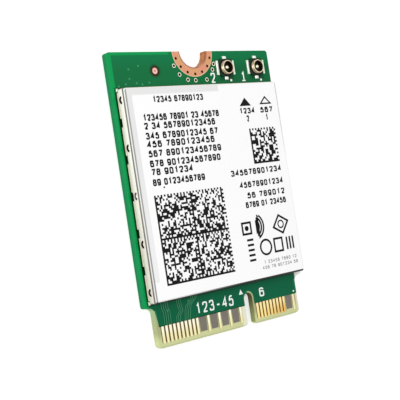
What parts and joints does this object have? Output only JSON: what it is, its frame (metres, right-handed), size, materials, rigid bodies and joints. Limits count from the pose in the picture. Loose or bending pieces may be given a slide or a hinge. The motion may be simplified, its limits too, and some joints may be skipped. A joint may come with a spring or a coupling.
{
  "type": "laptop wireless card",
  "caption": "Small green plug-in circuit board with a keyed row of edge contacts, a labelled metal radio shield, push-on antenna receptacles and a half-round screw notch.",
  "frame": {"origin": "middle of the card's length and width, on the back of the board", "axes": "+Z out of the labelled face, +Y along the card from the edge contacts to the half-round screw notch, +X to the right as the labelled face is seen with the notch at the top"},
  "size_m": [0.022, 0.03, 0.002],
  "materials": {
    "board": "glossy green solder mask over glass-fibre laminate, olive bare laminate at its edges",
    "copper": "bare copper, satin, slightly pink",
    "contact_gold": "pale gold plating, satin",
    "grey_coating": "dull dark grey coating",
    "cover_steel": "tinned sheet steel, satin",
    "frame_steel": "tinned sheet steel, dull",
    "solder": "reflowed solder, smooth",
    "label_film": "white printed film, semi-gloss",
    "receptacle_gold": "gold plating, bright",
    "receptacle_moulding": "black moulded insulator",
    "chip_moulding": "black moulding compound, fine grain",
    "heat_pad": "soft grey-blue heat conducting pad",
    "crystal_metal": "plated metal lid on a ceramic tub",
    "capacitor_ceramic": "tan ceramic with tinned ends",
    "resistor_glaze": "black glaze with tinned ends",
    "filter_ceramic": "pale ceramic",
    "inductor_moulding": "dark grey moulded iron powder"
  },
  "bodies": {
    "root": {"antenna_1_base": "receptacle_moulding", "antenna_1_contact": "receptacle_gold", "antenna_1_shell": "receptacle_gold", "antenna_2_base": "receptacle_moulding", "antenna_2_contact": "receptacle_gold", "antenna_2_shell": "receptacle_gold", "antenna_filter_1": "filter_ceramic", "antenna_filter_2": "filter_ceramic", "back_contacts": "contact_gold", "blank_contact_fields": "grey_coating", "capacitors": "capacitor_ceramic", "circuit_board": "board", "contact_01": "contact_gold", "contact_07": "contact_gold", "contact_09": "contact_gold", "contact_11": "contact_gold", "contact_13": "contact_gold", "contact_15": "contact_gold", "contact_17": "contact_gold", "contact_19": "contact_gold", "contact_21": "contact_gold", "contact_23": "contact_gold", "contact_33": "contact_gold", "contact_39": "contact_gold", "contact_45": "contact_gold", "contact_51": "contact_gold", "contact_57": "contact_gold", "contact_59": "contact_gold", "contact_61": "contact_gold", "contact_63": "contact_gold", "contact_65": "contact_gold", "contact_67": "contact_gold", "contact_69": "contact_gold", "contact_71": "contact_gold", "contact_73": "contact_gold", "contact_75": "contact_gold", "crystal": "crystal_metal", "fiducial_dot": "copper", "flash_memory": "chip_moulding", "frame_solder": "solder", "front_end_module_1": "chip_moulding", "front_end_module_2": "chip_moulding", "heat_pad": "heat_pad", "label": "label_film", "mounting_ring": "copper", "power_inductor_1": "inductor_moulding", "power_inductor_2": "inductor_moulding", "power_regulator": "chip_moulding", "radio_chip": "chip_moulding", "resistors": "resistor_glaze", "shield_cover": "cover_steel", "shield_frame": "frame_steel", "stitching_vias": "copper"}
  },
  "joints": []
}
